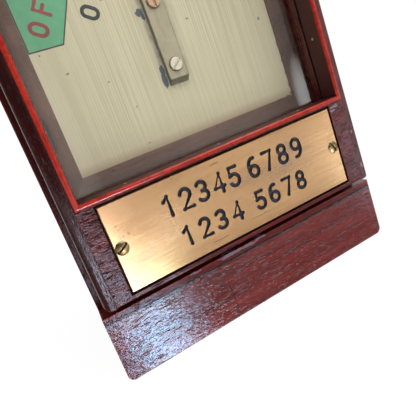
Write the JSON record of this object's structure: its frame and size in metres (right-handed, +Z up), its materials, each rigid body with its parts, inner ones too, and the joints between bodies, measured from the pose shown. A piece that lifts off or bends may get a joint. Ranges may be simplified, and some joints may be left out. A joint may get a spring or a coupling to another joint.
{
  "type": "signal arm repeater",
  "caption": "Shelf instrument for a signal box: a small semaphore arm on a post, moved by an electromagnet, behind a glazed door in a polished wooden case.",
  "frame": {"origin": "on the underside, under the middle of the whole part's width and depth", "axes": "+X to the right as seen from the front, +Y to the back, so the door faces -Y, +Z up"},
  "size_m": [0.153, 0.1296, 0.301],
  "materials": {
    "mahogany": "french polished mahogany, dark and glossy, a little worn",
    "surround_wood": "faded thin polish on mahogany",
    "inner_wood": "plain pine, unfinished",
    "bead_wood": "bright red-brown polished mahogany bead",
    "glass": "clear old window glass",
    "name_brass": "aged brass with a dull brown tarnish",
    "brass": "lacquered brass, slightly dulled",
    "screw_brass": "aged brass",
    "steel": "plain bright steel",
    "iron": "soft iron, blackened",
    "dial_paint": "cream painted sheet, slightly yellowed",
    "post_metal": "dull grey-beige aged brass",
    "arm_paint": "red enamel paint with a white band",
    "ebonite": "black ebonite",
    "copper": "green silk-covered copper wire, varnished"
  },
  "bodies": {
    "case": {"base_plinth": "mahogany", "base_board": "mahogany", "base_screws": "steel", "case_side_left": "mahogany", "case_side_right": "mahogany", "case_bottom": "mahogany", "case_top": "mahogany", "case_back": "mahogany", "back_screws": "screw_brass", "cap_board": "mahogany", "hinge_case_leaves": "brass", "hinge_pins": "brass", "hinge_case_screws": "screw_brass", "lock_barrel": "brass", "dial_surround": "surround_wood", "dial_plate": "dial_paint", "dial_board": "inner_wood", "signal_post": "post_metal", "post_screws": "screw_brass", "front_plate": "brass", "rear_plate": "brass", "pillars": "brass", "frame_screws": "steel", "board_screws": "steel", "spindle_bushes": "brass", "stop_pins": "steel", "bobbins": "ebonite", "windings": "copper", "cores": "iron", "pole_shoes": "iron", "yoke": "iron", "terminal_block": "ebonite", "terminal_studs": "brass", "terminal_washers": "brass", "terminal_locknuts": "brass"},
    "door": {"door_stile_left": "mahogany", "door_stile_right": "mahogany", "door_bottom_rail": "mahogany", "door_top_rail": "mahogany", "bead_left": "bead_wood", "bead_right": "bead_wood", "bead_top": "bead_wood", "bead_bottom": "bead_wood", "bead_pins": "screw_brass", "glass_pane": "glass", "name_plate": "name_brass", "name_plate_screws": "screw_brass", "hinge_door_leaves": "brass", "hinge_door_screws": "screw_brass"},
    "arm": {"signal_arm": "arm_paint", "arm_boss": "brass", "arm_screw": "screw_brass", "arm_spindle": "steel", "armature": "iron", "balance_lever": "brass", "balance_weight": "brass"},
    "lock": {"lock_plug": "brass", "lock_cam": "steel"},
    "nut_left": {"terminal_nut_left": "brass"},
    "nut_right": {"terminal_nut_right": "brass"}
  },
  "joints": [
    {"name": "door_hinge", "type": "hinge", "parent": "case", "child": "door", "pos_m": [0.0714, -0.04685, 0.1605], "axis": [0, 0, 1], "range_deg": [0, 110]},
    {"name": "arm_pivot", "type": "hinge", "parent": "case", "child": "arm", "pos_m": [0, -0.0151, 0.219], "axis": [0, -1, 0], "range_deg": [0, 57]},
    {"name": "lock_turn", "type": "hinge", "parent": "case", "child": "lock", "pos_m": [-0.06515, -0.0392, 0.165], "axis": [1, 0, 0], "range_deg": [0, 90]},
    {"name": "nut_left_turn", "type": "hinge", "parent": "case", "child": "nut_left", "pos_m": [-0.014, 0.057, 0.062], "axis": [0, 1, 0], "continuous": true},
    {"name": "nut_right_turn", "type": "hinge", "parent": "case", "child": "nut_right", "pos_m": [0.014, 0.057, 0.062], "axis": [0, 1, 0], "continuous": true}
  ]
}
